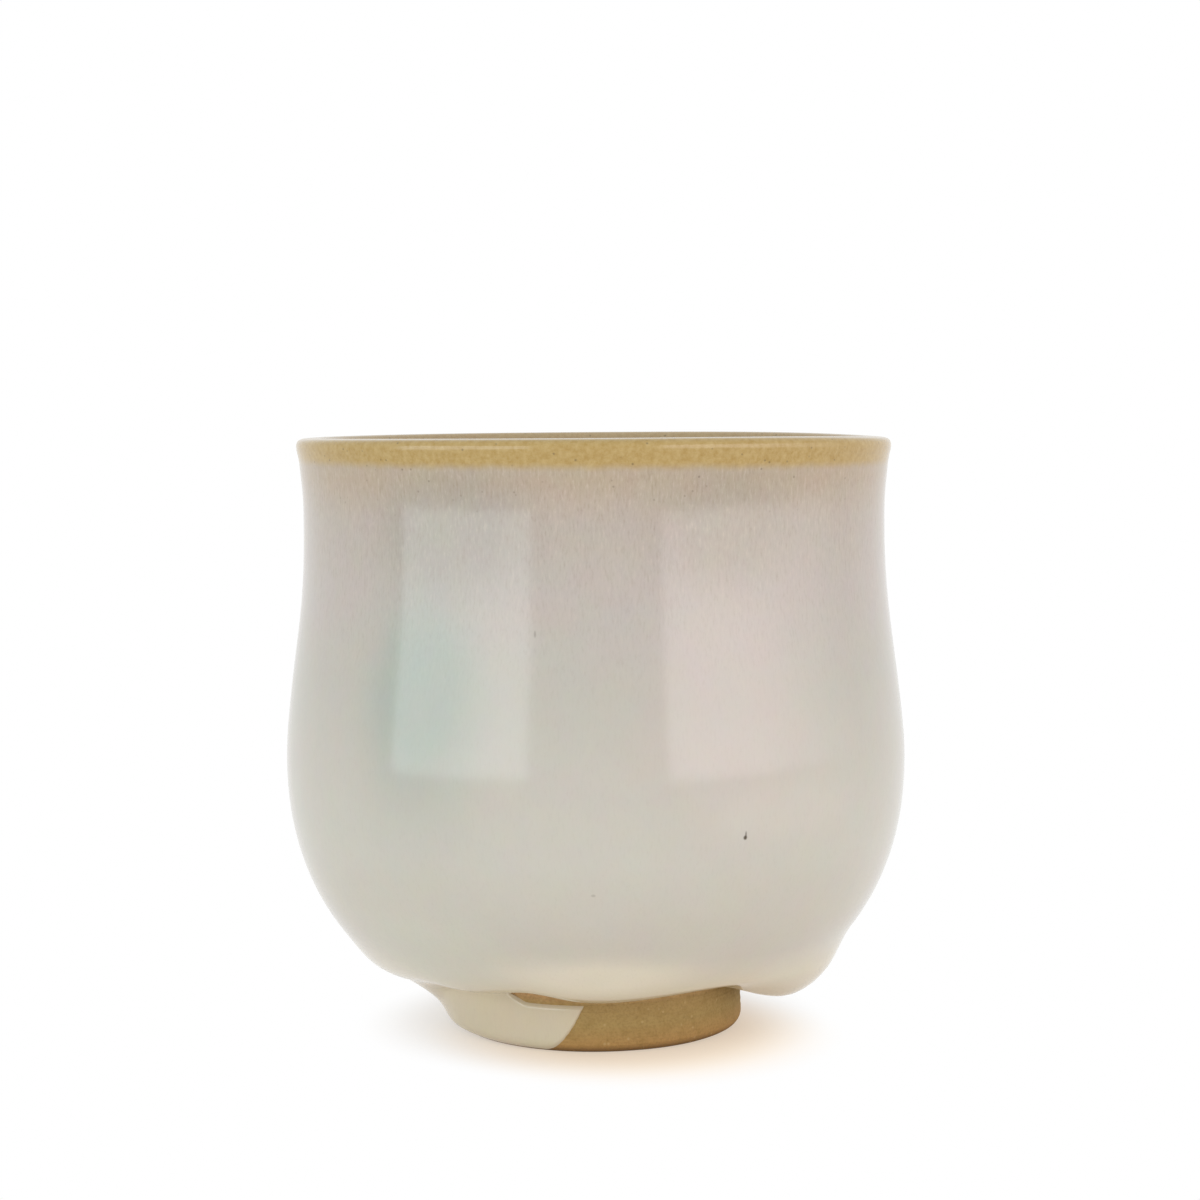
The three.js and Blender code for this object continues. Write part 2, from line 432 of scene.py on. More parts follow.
# %% [markdown]
# ## The rim glaze
# Glaze drains off a lip while it melts, so the coat there is thin and the iron in the clay stains
# it ochre. It wraps the lip from band to band. Its edges share their rows and steps with the coats
# below, so that the three meet with no gap.

# %% Spin the rim glaze
BAND_ROWS = 6


def rim_section(angle):
    """The coat over the lip, which is the same at every angle."""
    down, up = places(LIP_START, BAND, BAND_ROWS), places(BAND, LIP_START, BAND_ROWS)
    coat = [
        *(on_outside(place, BAND_COAT) for place in up),
        *over_lip(BAND_COAT),
        *(on_inside(place, BAND_COAT) for place in down),
    ]
    clay = [
        *(on_inside(place) for place in up),
        *reversed(over_lip()),
        *(on_outside(place) for place in down),
    ]
    return [*coat, *clay, coat[0]]


rim = make_piece("rim_glaze_coat", spun(rim_section, TURN_STEPS), "rim_glaze")

# %% [markdown]
# ## The inner glaze
# Inside, the glaze follows the soft spiral that the potter's fingers left while the clay rose, and
# it settles in a level pool on the floor. The spiral is part of the section: its phase shifts by
# one pitch in a full turn, so it climbs without a seam. A Bezier curve leads from the wall into
# the pool, because a liquid leaves no corner there.

# %% Spin the inner glaze
from mathutils.geometry import interpolate_bezier

INNER_COAT = 0.8
POOL_COAT = 1.3
POOL_PLACE = 0.9  # where the wall begins to turn into the pool
POOL_BEND, POOL_FLAT = 3.8, 15.0  # handles of the curve that leads from one to the other
RING_PITCH = 5.5
RING_DEPTH = 0.07
LINER_ROWS, LINER_BACK_ROWS, POOL_ROWS = 64, 30, 24


def inner_section(angle):
    """From the middle of the floor up along the clay, then down the coat and into the pool."""
    liner = []
    for place in places(BAND, POOL_PLACE, LINER_ROWS):
        height = on_inside(place).y
        ring = math.sin(2 * math.pi * (height / RING_PITCH - angle / 360))
        fade = smoothstep(BAND, 2 * BAND, place)
        fade *= smoothstep(POOL_PLACE, POOL_PLACE - BAND, place)
        coat = lerp(BAND_COAT, INNER_COAT, (place - BAND) / (1 - BAND))
        liner.append(on_inside(place, coat + RING_DEPTH * fade * ring))
    edge = liner[-1]
    middle = Vector((0, FOOT_HEIGHT + FLOOR_THICKNESS + POOL_COAT))
    down = POOL_BEND * (edge - liner[-2]).normalized()
    pool = interpolate_bezier(
        edge, edge + down, middle + Vector((POOL_FLAT, 0)), middle, POOL_ROWS
    )
    clay = [
        Vector((0, FOOT_HEIGHT + FLOOR_THICKNESS)),
        *(on_inside(place) for place in places(1, BAND, LINER_BACK_ROWS)),
    ]
    return [*clay, *liner, *pool[1:]]


inner = make_piece("inner_glaze_coat", spun(inner_section, TURN_STEPS), "inner_glaze")

# %% [markdown]
# ## The glaze on the foot
# At the left the slump ran on over the foot and froze there in a cream-coloured skin. Towards the
# front it ends in a slanting edge with a free top, and a wedge of bare clay shows above it. Further
# round, its top flares out and joins the roll. It is a partial spin whose section closes to
# a tip at both ends.

# %% Spin the skin on the foot
SKIN_RIGHT, SKIN_LEFT = -5.0, -130.0  # degrees, its two tips
SKIN_SLANT = 16.0  # degrees over which an end closes to its tip
SKIN_LOW, SKIN_TOP = 0.3, 6.8
SKIN_THICKNESS = 0.36
SKIN_ROUND = 0.7  # how far in from its edges the skin rounds off
SKIN_SUNK = 0.05  # how deep it bites into the clay and into the roll
JOIN_FROM, JOIN_TO = -27.0, -42.0  # degrees, where its top edge rises to the roll
SLUMP_FULL = -95.0  # degrees, where the slump is at its fattest
SLUMP_SLOPE = 0.47  # how fast the skin thickens with height there
ROLL_PLACES = 0.985, 0.862  # where the skin meets the roll, from its start to its fattest
ROLL_STEP = 0.01  # of place, to read the roll's slope
FOLD = 1.2  # softness of the fold between roll and skin
SKIN_ROWS = 40
SKIN_STEPS = 250


def rounded_side(height, angle):
    """Outside radius of the foot, with its standing edge rounded."""
    short = max(1 - height / FOOT_ROUND, 0)
    return foot_side(height, angle) - FOOT_ROUND * (1 - math.sqrt(1 - short**2))


def swell(depth):
    """Share of the full thickness at a depth in from the skin's edge."""
    return math.sin(math.pi / 2 * min(max(depth / SKIN_ROUND, 0), 1))


def skin_section(angle):
    """Up the skin's outside and back down along the clay, closed to a point at its two tips."""
    from_tip = min(SKIN_RIGHT - angle, angle - SKIN_LEFT)
    closed = (1 - min(max(from_tip / SKIN_SLANT, 0), 1)) ** 2
    join = smoothstep(JOIN_FROM, JOIN_TO, angle) * (1 - closed)
    slump = smoothstep(JOIN_FROM, SLUMP_FULL, angle) * (1 - closed)
    place = lerp(*ROLL_PLACES, slump)
    roll, below = (
        on_outside(spot, outer_thickness(spot, angle) - SKIN_SUNK)
        for spot in (place, place + ROLL_STEP)
    )
    roll_slope = (roll.x - below.x) / (roll.y - below.y)
    top = lerp(SKIN_TOP, roll.y, join)
    low = lerp(SKIN_LOW, top, closed)
    outside, clay = [], []
    for row in range(SKIN_ROWS + 1):
        height = lerp(low, top, (1 - math.cos(math.pi * row / SKIN_ROWS)) / 2)
        side = rounded_side(height, angle) - SKIN_SUNK
        skin_coat = SKIN_THICKNESS + SLUMP_SLOPE * slump * height
        roll_coat = roll.x - side - roll_slope * (roll.y - height)
        folded = (skin_coat + roll_coat + math.hypot(skin_coat - roll_coat, FOLD)) / 2
        coat = lerp(skin_coat, folded, join)
        rounding = min(swell(height - low), lerp(swell(top - height), 1, join))
        outside.append(Vector((side + coat * rounding, height)))
        clay.append(Vector((side, height)))
    return [*outside, *reversed(clay), outside[0]]


skin = make_piece(
    "foot_glaze_skin",
    spun(skin_section, SKIN_STEPS, SKIN_LEFT, SKIN_RIGHT - SKIN_LEFT),
    "foot_glaze",
)

# %% [markdown]
# ## Nodes and colours
# The finishes are made of nodes only, so they need no picture files. One small function adds a
# node: settings are its own properties, and each socket takes a value or another node's output.
# Colours are written as sRGB hex values, as a colour picker shows them, and one function turns them
# into the linear light that Blender works with, by the curve that the sRGB standard gives.

# %% Add nodes and read colours
def linear(hex_colour):
    """A Blender colour from an sRGB hex value such as "#c8b89a"."""
    channels = (int(hex_colour[place : place + 2], 16) / 255 for place in (1, 3, 5))
    return (*(c / 12.92 if c <= 0.04045 else ((c + 0.055) / 1.055) ** 2.4 for c in channels), 1.0)


def add(tree, kind, sockets=None, **settings):
    """Adds a shader node, sets its properties and fills its sockets."""
    node = tree.nodes.new("ShaderNode" + kind)
    for name, value in settings.items():
        setattr(node, name, value)
    for name, value in (sockets or {}).items():
        if isinstance(value, bpy.types.NodeSocket):
            tree.links.new(value, node.inputs[name])
        else:
            node.inputs[name].default_value = value
    return node


def new_finish(name):
    """An empty material, with its node tree and its Object coordinates in millimetres."""
    finish = bpy.data.materials.new(name)
    finish.use_nodes = True
    tree = finish.node_tree
    tree.nodes.clear()
    coordinates = add(tree, "TexCoord")
    millimetres = add(
        tree,
        "Mapping",
        {"Vector": coordinates.outputs["Object"], "Scale": (1 / MM, 1 / MM, 1 / MM)},
    )
    return finish, tree, millimetres.outputs["Vector"]


MIX_A, MIX_B, MIX_RESULT = 6, 7, 2  # the colour sockets of a Mix node

# %% [markdown]
# ## The milky glaze
# This is a stoneware glaze rich in ash and silica. As it cools, tiny droplets of one glass separate
# inside another and scatter light, which makes it milky, bluish where it is thick and rosy where
# it is thin. The colour starts with a ramp from the table to the lip, because the coat changes
# most with height. Just above the foot the ramp is lighter, partly for the cream of the thick roll
# and partly as painted bounce light, which the bright table throws up onto the roll's underside.
# A spot of colour at each stop keeps it easy to retouch.

# %% Start the glaze with its colour by height
HEIGHT_STOPS = [
    (0.0, "#d2c8b0"),
    (7.0, "#d6cbb2"),
    # partly the cream of the thick roll, partly painted bounce light from the table below
    (11.0, "#dad4c0"),
    (16.0, "#c9c5bb"),
    (30.0, "#c9c8bf"),
    (42.0, "#c4c1b8"),
    (52.0, "#bdbbb2"),
    (65.0, "#bcb5af"),
    (74.0, "#b8afa6"),
    (79.5, "#b5a693"),
]


def set_stops(ramp, stops, top):
    """Gives a new colour ramp its stops: heights in millimetres with their colours."""
    elements = ramp.color_ramp.elements
    for element, (height, colour) in zip(elements, (stops[0], stops[-1])):
        element.position = height / top
        element.color = linear(colour)
    for height, colour in stops[1:-1]:
        elements.new(height / top).color = linear(colour)


glaze, glaze_tree, glaze_mm = new_finish("milky_ash_glaze")
glaze_axes = add(glaze_tree, "SeparateXYZ", {"Vector": glaze_mm})
glaze_height = glaze_axes.outputs["Z"]
height_share = add(
    glaze_tree, "MapRange", {"Value": glaze_height, "From Min": 0.0, "From Max": CUP_HEIGHT}
)
height_ramp = add(glaze_tree, "ValToRGB", {"Fac": height_share.outputs["Result"]})
set_stops(height_ramp, HEIGHT_STOPS, CUP_HEIGHT)
glaze_colour = height_ramp.outputs["Color"]
print(f"{glaze.name}: {len(HEIGHT_STOPS)} colours from the table to the lip")

# %% [markdown]
# ## Blooms of colour, and painted light
# Where the coat lies thicker, droplets give a sea-green or bluish bloom, and beside it a rosy one.
# Noise alone would put them anywhere. A stretched soft ball of colour for each bloom puts it where
# the cup has it, and a few more on the sides that the photograph doesn't show keep the whole
# cup of one kind. Two balls are not only glaze: the pale one on the front of the roll is partly
# painted bounce light from the table, and the faint pale band on the right of the belly, just below
# its widest, is a painted reflection that carries the right window's field further down. High on
# the wall the balls are flat, so that they colour only its outside. Soft clouds of noise over all
# of it keep the colour from looking even.

# %% Add the blooms and the painted light
BLOOMS_AND_PAINTED_LIGHT = [
    {"angle": -32, "height": 51, "size": (18, 6, 33), "colour": "#a6b1a8", "share": 0.85},
    {"angle": -27, "height": 73, "size": (23, 7, 18), "colour": "#9f9c93", "share": 0.55},
    {"angle": 24, "height": 50, "size": (26, 8, 34), "colour": "#c8b9b5", "share": 0.4},
    {"angle": 24, "height": 74, "size": (20, 6, 18), "colour": "#a59c8f", "share": 0.45},
    {"angle": 112, "height": 46, "size": (30, 9, 48), "colour": "#aeb5ac", "share": 0.5},
    {"angle": 168, "height": 54, "size": (30, 9, 40), "colour": "#c8b8b2", "share": 0.4},
    {"angle": 232, "height": 50, "size": (28, 8, 44), "colour": "#abb3ab", "share": 0.55},
    {"angle": -38, "height": 17, "size": (24, 20, 14), "colour": "#cdd0c4", "share": 0.6},
    # partly the cream of the thick roll, partly painted bounce light on the roll's front
    {"angle": 0, "height": 14.2, "size": (26, 11, 7), "colour": "#f2ecd9", "share": 0.5},
    # painted reflection: a faint pale band that carries the right window's field lower
    {"angle": 33, "height": 36.5, "size": (27, 8, 9), "colour": "#d8d3ca", "share": 0.32},
]
BLOOM_CORE = 0.6  # how far a ball's fade has to rise for its bloom to be full
CLOUD_SIZE = 5.0
CLOUD_SHARE = 0.12


def radius_at(height):
    """Radius of the form at a height."""
    spots = map(on_outside, places(0, 1, FORM_ROWS))
    return min(spots, key=lambda spot: abs(spot.y - height)).x


def soft_ball(angle, height, size, gradient):
    """A node's share that is 1 at a point of the wall and fades to 0 at a size around it."""
    space = add(
        glaze_tree,
        "Mapping",
        {
            "Vector": glaze_mm,
            "Location": around(Vector((radius_at(height), height)), angle),
            "Rotation": (0, 0, math.radians(angle)),
            "Scale": size,
        },
        vector_type="TEXTURE",
    )
    ball = add(
        glaze_tree, "TexGradient", {"Vector": space.outputs["Vector"]}, gradient_type=gradient
    )
    return ball.outputs["Fac"]


for patch in BLOOMS_AND_PAINTED_LIGHT:
    near = soft_ball(patch["angle"], patch["height"], patch["size"], "QUADRATIC_SPHERE")
    amount = add(
        glaze_tree,
        "MapRange",
        {"Value": near, "From Max": BLOOM_CORE, "To Max": patch["share"]},
        interpolation_type="SMOOTHSTEP",
    )
    mixed = add(
        glaze_tree,
        "Mix",
        {0: amount.outputs["Result"], MIX_A: glaze_colour, MIX_B: linear(patch["colour"])},
        data_type="RGBA",
    )
    glaze_colour = mixed.outputs[MIX_RESULT]
clouds = add(
    glaze_tree,
    "TexNoise",
    {"Vector": glaze_mm, "Scale": 1 / CLOUD_SIZE, "Detail": 5.0, "Roughness": 0.7},
)
mixed = add(
    glaze_tree,
    "Mix",
    {0: CLOUD_SHARE, MIX_A: glaze_colour, MIX_B: clouds.outputs["Color"]},
    data_type="RGBA",
    blend_type="SOFT_LIGHT",
)
glaze_colour = mixed.outputs[MIX_RESULT]
print(f"{glaze.name}: {len(BLOOMS_AND_PAINTED_LIGHT)} blooms, clouds {CLOUD_SIZE} mm wide")

# %% [markdown]
# ## Hair streaks
# As the glaze slides down, it draws fine hair lines, densest under the rim. They are noise squeezed
# to a third of a millimetre across and stretched down the wall. On the real cup the finest are
# half as wide, so these are drawn as coarse as they need to be to show.

# %% Add the hair streaks
STREAK_WIDTH = 0.3
STREAK_LENGTH = 1.3
STREAK_FROM, STREAK_TO = 50.0, 80.0  # heights between which they grow denser
STREAK_SHARE_LOW, STREAK_SHARE_HIGH = 0.08, 0.45  # at those two heights
STREAKS = [
    {"colour": "#8f7d69", "from": 0.52, "to": 0.78},
    {"colour": "#d8cdbf", "from": 0.46, "to": 0.2},
]

streak_space = add(
    glaze_tree,
    "Mapping",
    {"Vector": glaze_mm, "Scale": (1 / STREAK_WIDTH, 1 / STREAK_WIDTH, 1 / STREAK_LENGTH)},
)
streak_noise = add(
    glaze_tree,
    "TexNoise",
    {"Vector": streak_space.outputs["Vector"], "Scale": 1.0, "Detail": 3.0, "Roughness": 0.7},
)
streak_reach = add(
    glaze_tree,
    "MapRange",
    {
        "Value": glaze_height,
        "From Min": STREAK_FROM,
        "From Max": STREAK_TO,
        "To Min": STREAK_SHARE_LOW,
        "To Max": STREAK_SHARE_HIGH,
    },
)
for streak in STREAKS:
    amount = add(
        glaze_tree,
        "MapRange",
        {
            "Value": streak_noise.outputs["Fac"],
            "From Min": streak["from"],
            "From Max": streak["to"],
            "To Max": streak_reach.outputs["Result"],
        },
    )
    mixed = add(
        glaze_tree,
        "Mix",
        {0: amount.outputs["Result"], MIX_A: glaze_colour, MIX_B: linear(streak["colour"])},
        data_type="RGBA",
    )
    glaze_colour = mixed.outputs[MIX_RESULT]
print(f"{glaze.name}: streaks {STREAK_WIDTH} mm wide")

# %% [markdown]
# ## The ochre rim
# On the lip the glaze is so thin that the clay's iron colours it ochre. The change is soft, and its
# line wanders and lies a little lower at the right, as the rim does. A painted mask could follow
# it. Here the height is pushed up and down by noise before a narrow step cuts it. Inside the lip
# the change stays weaker.

# %% Find where the glaze turns ochre
BREAK_HEIGHT = 81.3
BREAK_DEPTH = 1.5
BREAK_WANDER = 0.6
BREAK_WANDER_SIZE = 2.5
BREAK_TILT = 0.008  # how much lower the line lies with each millimetre to the right
INSIDE_SHARE = 0.6  # how far the glaze turns ochre inside the lip

wander = add(
    glaze_tree,
    "TexNoise",
    {"Vector": glaze_mm, "Scale": 1 / BREAK_WANDER_SIZE, "Detail": 4.0, "Roughness": 0.6},
)
tilted = add(
    glaze_tree,
    "Math",
    {0: glaze_axes.outputs["X"], 1: BREAK_TILT, 2: glaze_height},
    operation="MULTIPLY_ADD",
)
wandering = add(
    glaze_tree,
    "Math",
    {0: wander.outputs["Fac"], 1: BREAK_WANDER, 2: tilted.outputs["Value"]},
    operation="MULTIPLY_ADD",
)
flat_mm = add(glaze_tree, "VectorMath", {0: glaze_mm, 1: (1.0, 1.0, 0.0)}, operation="MULTIPLY")
from_axis = add(glaze_tree, "VectorMath", {0: flat_mm.outputs["Vector"]}, operation="LENGTH")
most_ochre = add(
    glaze_tree,
    "MapRange",
    {
        "Value": from_axis.outputs["Value"],
        "From Min": LIP_RADIUS - LIP_WALL,
        "From Max": LIP_RADIUS - LIP_WALL / 2,
        "To Min": INSIDE_SHARE,
    },
)
rim_low = BREAK_HEIGHT + (BREAK_WANDER - BREAK_DEPTH) / 2
rim_share = add(
    glaze_tree,
    "MapRange",
    {
        "Value": wandering.outputs["Value"],
        "From Min": rim_low,
        "From Max": rim_low + BREAK_DEPTH,
        "To Max": most_ochre.outputs["Result"],
    },
    interpolation_type="SMOOTHSTEP",
)
print(f"{glaze.name}: ochre above {BREAK_HEIGHT} mm")

# %% [markdown]
# ## The ochre itself
# Iron never spreads evenly, so the ochre is mottled. Noise mixes a light tone with a dark one, in
# spots a little under a millimetre wide, and the result is laid over the rim.

# %% Lay the ochre over the rim
MOTTLE_SIZE = 0.8
MOTTLE_FROM, MOTTLE_TO = 0.3, 0.7  # the noise's range that goes from light to dark
OCHRE_LIGHT, OCHRE_DARK = "#bfa770", "#aa8c4c"

mottle = add(
    glaze_tree,
    "TexNoise",
    {"Vector": glaze_mm, "Scale": 1 / MOTTLE_SIZE, "Detail": 4.0, "Roughness": 0.7},
)
mottle_amount = add(
    glaze_tree,
    "MapRange",
    {"Value": mottle.outputs["Fac"], "From Min": MOTTLE_FROM, "From Max": MOTTLE_TO},
)
ochre = add(
    glaze_tree,
    "Mix",
    {
        0: mottle_amount.outputs["Result"],
        MIX_A: linear(OCHRE_LIGHT),
        MIX_B: linear(OCHRE_DARK),
    },
    data_type="RGBA",
)
mixed = add(
    glaze_tree,
    "Mix",
    {0: rim_share.outputs["Result"], MIX_A: glaze_colour, MIX_B: ochre.outputs[MIX_RESULT]},
    data_type="RGBA",
)
glaze_colour = mixed.outputs[MIX_RESULT]
print(f"{glaze.name}: ochre mottled in spots of {MOTTLE_SIZE} mm")

# %% [markdown]
# ## Iron specks and pinholes
# Grains of iron in the clay melt up into the glaze as dark specks, and bubbles leave pinholes, most
# of them near the rim. Voronoi cells scatter the pinholes: each is the small ball round a cell's
# point, and only points that lie near the surface show. The larger specks are placed one by one,
# some on every side and one with a short tail above it. They reach inwards through the coat.

# %% Add the specks
SPECK_COLOUR = "#4e4434"
SPECKS = [
    {"angle": 26.1, "height": 33.2, "width": 0.36, "length": 0.4, "share": 0.95},
    {"angle": 26.2, "height": 33.6, "width": 0.2, "length": 0.6, "share": 0.6},  # its tail
    {"angle": -0.5, "height": 26.3, "width": 0.4, "length": 0.25, "share": 0.25},
    {"angle": -10.4, "height": 60.0, "width": 0.2, "length": 0.6, "share": 0.3},
    {"angle": 97, "height": 41.0, "width": 0.35, "length": 0.4, "share": 0.7},
    {"angle": 191, "height": 29.0, "width": 0.4, "length": 0.5, "share": 0.8},
    {"angle": 252, "height": 58.0, "width": 0.3, "length": 0.35, "share": 0.6},
]
SPECK_DEPTH = 3  # how far a speck reaches inwards
SPECK_CORE = 0.5  # how far its ball's fade has to rise for it to be full
PINHOLE_SPACING = 1.5
PINHOLE_RADIUS = 0.2
PINHOLE_FROM, PINHOLE_TO = 73.0, 81.0  # heights between which they grow common
PINHOLE_SHARE = 0.5
SPOT_CORE = 0.4  # the part of a pinhole's or a sand grain's radius that has its full colour

pinhole_points = add(
    glaze_tree, "TexVoronoi", {"Vector": glaze_mm, "Scale": 1 / PINHOLE_SPACING, "Randomness": 1.0}
)
pinhole_reach = add(
    glaze_tree,
    "MapRange",
    {
        "Value": glaze_height,
        "From Min": PINHOLE_FROM,
        "From Max": PINHOLE_TO,
        "To Max": PINHOLE_SHARE,
    },
)
pinholes = add(
    glaze_tree,
    "MapRange",
    {
        "Value": pinhole_points.outputs["Distance"],
        "From Min": PINHOLE_RADIUS / PINHOLE_SPACING,
        "From Max": SPOT_CORE * PINHOLE_RADIUS / PINHOLE_SPACING,
        "To Max": pinhole_reach.outputs["Result"],
    },
)
marks = [pinholes]
for speck in SPECKS:
    size = speck["width"], SPECK_DEPTH, speck["length"]
    near = soft_ball(speck["angle"], speck["height"], size, "SPHERICAL")
    sockets = {"Value": near, "From Max": SPECK_CORE, "To Max": speck["share"]}
    marks.append(add(glaze_tree, "MapRange", sockets))
for mark in marks:
    mixed = add(
        glaze_tree,
        "Mix",
        {0: mark.outputs["Result"], MIX_A: glaze_colour, MIX_B: linear(SPECK_COLOUR)},
        data_type="RGBA",
    )
    glaze_colour = mixed.outputs[MIX_RESULT]
print(f"{glaze.name}: {len(SPECKS)} specks, pinholes {2 * PINHOLE_RADIUS} mm wide")

# %% [markdown]
# ## The glaze's skin
# The coat is glossy glass with an index of refraction of 1.5, and the lip's crest catches a thin
# bright line. A faint ripple, like orange peel, breaks up its highlights, and pinholes dent it.

# %% Finish the glaze
GLASS_IOR = 1.5
GLOSS_ROUGHNESS = 0.14
RIPPLE_SIZE = 2.2
RIPPLE_DEPTH = 0.006
PINHOLE_DENT = -1.5  # a pinhole's height in ripples, below 0 because it is a dent

ripple = add(
    glaze_tree,
    "TexNoise",
    {"Vector": glaze_mm, "Scale": 1 / RIPPLE_SIZE, "Detail": 2.0, "Roughness": 0.5},
)
dented = add(
    glaze_tree,
    "Math",
    {0: pinholes.outputs["Result"], 1: PINHOLE_DENT, 2: ripple.outputs["Fac"]},
    operation="MULTIPLY_ADD",
)
glaze_bump = add(
    glaze_tree,
    "Bump",
    {"Height": dented.outputs["Value"], "Strength": 1.0, "Distance": RIPPLE_DEPTH * MM},
)
glaze_shader = add(
    glaze_tree,
    "BsdfPrincipled",
    {
        "Base Color": glaze_colour,
        "Roughness": GLOSS_ROUGHNESS,
        "IOR": GLASS_IOR,
        "Normal": glaze_bump.outputs["Normal"],
    },
)
add(glaze_tree, "OutputMaterial", {"Surface": glaze_shader.outputs["BSDF"]})
glazed = (outer, rim, skin)
for piece in glazed:
    piece.data.materials.append(glaze)
print(f"{glaze.name}: {len(glaze_tree.nodes)} nodes on {len(glazed)} pieces")

# %% [markdown]
# ## The inside, painted lighter
# Little light reaches down into the cup, so its inside would lie in shade. It is given painted
# light instead: its glaze has lighter colours, the more so the lower they lie towards the floor.
# A second glaze could be built from nothing, but a copy with lighter colours in its ramp keeps
# the two of one kind.

# %% Paint light into the inside
# painted light for the inside, mixed into the copy's ramp
LINER_PAINTED_LIGHT = "#fff9ee"
LINER_LIGHT_SHARE = 0.6  # of that colour, where the ramp begins at the table

liner = glaze.copy()
liner.name = "painted_light_liner_glaze"
for stop in liner.node_tree.nodes[height_ramp.name].color_ramp.elements:
    share = LINER_LIGHT_SHARE * (1 - stop.position)
    stop.color = [lerp(*pair, share) for pair in zip(stop.color, linear(LINER_PAINTED_LIGHT))]
inner.data.materials.append(liner)
print(f"{liner.name}: up to {LINER_LIGHT_SHARE} of {LINER_PAINTED_LIGHT} mixed in")

# %% [markdown]
# ## The bare clay
# The foot is unglazed stoneware, fired to a toasted sand colour and flushed with orange where the
# glaze begins. As on the glaze, the height gives the first colour, with a ramp whose stops lie
# closest together at the standing edge. There the ramp is darkened as a painted contact shadow.
# Its top stops are lighter partly for the orange flush and partly as painted light, which lifts the
# shaded gap under the roll.

# %% Start the clay with its colour by height
CLAY_STOPS = [
    # the first two stops: a painted contact shadow along the standing edge
    (0.0, "#665036"),
    (0.5, "#8a683c"),
    (1.2, "#b28c54"),
    (4.0, "#ac925b"),
    # the top two stops: the orange flush, lifted by painted light for the shaded gap under the roll
    (6.8, "#b0945f"),
    (8.4, "#dcb283"),
]

clay, clay_tree, clay_mm = new_finish("sandy_stoneware")
clay_axes = add(clay_tree, "SeparateXYZ", {"Vector": clay_mm})
clay_share = add(
    clay_tree,
    "MapRange",
    {"Value": clay_axes.outputs["Z"], "From Min": 0.0, "From Max": FOOT_HEIGHT},
)
clay_ramp = add(clay_tree, "ValToRGB", {"Fac": clay_share.outputs["Result"]})
set_stops(clay_ramp, CLAY_STOPS, FOOT_HEIGHT)
clay_colour = clay_ramp.outputs["Color"]
print(f"{clay.name}: {len(CLAY_STOPS)} colours from the table to the glaze")

# %% [markdown]
# ## Sand in the clay
# Stoneware like this is dry and rough, with coarse sand in it: brown mottling, dark iron grains and
# pale feldspar. Two noises give the first two and Voronoi cells the last. The grains are drawn two
# or three times their real size, so that they show at this distance.

# %% Add the mottling, the grains and the sand
CLAY_TONES = [
    {"size": 1.6, "from": 0.45, "to": 0.75, "share": 0.4, "colour": "#8c7038"},  # mottling
    {"size": 0.35, "from": 0.45, "to": 0.8, "share": 0.4, "colour": "#6f542c"},  # iron grains
]
SAND_SPACING = 1.3
SAND_RADIUS = 0.26
SAND_SHARE = 0.5
SAND_COLOUR = "#c4ab78"

clay_marks = []
for tone in CLAY_TONES:
    grain = add(
        clay_tree,
        "TexNoise",
        {"Vector": clay_mm, "Scale": 1 / tone["size"], "Detail": 3.0, "Roughness": 0.6},
    )
    amount = add(
        clay_tree,
        "MapRange",
        {
            "Value": grain.outputs["Fac"],
            "From Min": tone["from"],
            "From Max": tone["to"],
            "To Max": tone["share"],
        },
    )
    clay_marks.append((amount, tone["colour"]))
sand_points = add(
    clay_tree, "TexVoronoi", {"Vector": clay_mm, "Scale": 1 / SAND_SPACING, "Randomness": 1.0}
)
sand = add(
    clay_tree,
    "MapRange",
    {
        "Value": sand_points.outputs["Distance"],
        "From Min": SAND_RADIUS / SAND_SPACING,
        "From Max": SPOT_CORE * SAND_RADIUS / SAND_SPACING,
        "To Max": SAND_SHARE,
    },
)
clay_marks.append((sand, SAND_COLOUR))
for amount, colour in clay_marks:
    mixed = add(
        clay_tree,
        "Mix",
        {0: amount.outputs["Result"], MIX_A: clay_colour, MIX_B: linear(colour)},
        data_type="RGBA",
    )
    clay_colour = mixed.outputs[MIX_RESULT]
print(f"{clay.name}: {len(clay_marks)} tones over it, sand {SAND_SPACING} mm apart")

# %% [markdown]
# ## The clay's skin
# Turning drags the sand and leaves fine scratches round the foot. A wave along the height gives
# them, bent a little by noise, and the noise of the iron grains, the last one made above, adds its
# own roughness. Bare clay has almost no gloss.

# %% Finish the clay
SCRATCH_PITCH = 0.5
SCRATCH_SHARE = 0.35  # how deep the scratches are, as a share of the grain
CLAY_RELIEF = 0.06
CLAY_IOR = 1.5
CLAY_ROUGHNESS = 0.85
WAVE_TURN = 20  # radians of a Wave texture in a unit, at a scale of 1

scratches = add(
    clay_tree,
    "TexWave",
    {
        "Vector": clay_mm,
        "Scale": 2 * math.pi / (WAVE_TURN * SCRATCH_PITCH),
        "Distortion": 1.5,
        "Detail": 2.0,
        "Detail Scale": 0.3,
    },
    bands_direction="Z",
)
relief = add(
    clay_tree,
    "Math",
    {0: scratches.outputs["Fac"], 1: SCRATCH_SHARE, 2: grain.outputs["Fac"]},
    operation="MULTIPLY_ADD",
)
clay_bump = add(
    clay_tree,
    "Bump",
    {"Height": relief.outputs["Value"], "Strength": 1.0, "Distance": CLAY_RELIEF * MM},
)
clay_shader = add(
    clay_tree,
    "BsdfPrincipled",
    {
        "Base Color": clay_colour,
        "Roughness": CLAY_ROUGHNESS,
        "IOR": CLAY_IOR,
        "Normal": clay_bump.outputs["Normal"],
    },
)
add(clay_tree, "OutputMaterial", {"Surface": clay_shader.outputs["BSDF"]})
bare = (bowl, foot)
for piece in bare:
    piece.data.materials.append(clay)
print(f"{clay.name}: {len(clay_tree.nodes)} nodes on {len(bare)} pieces")

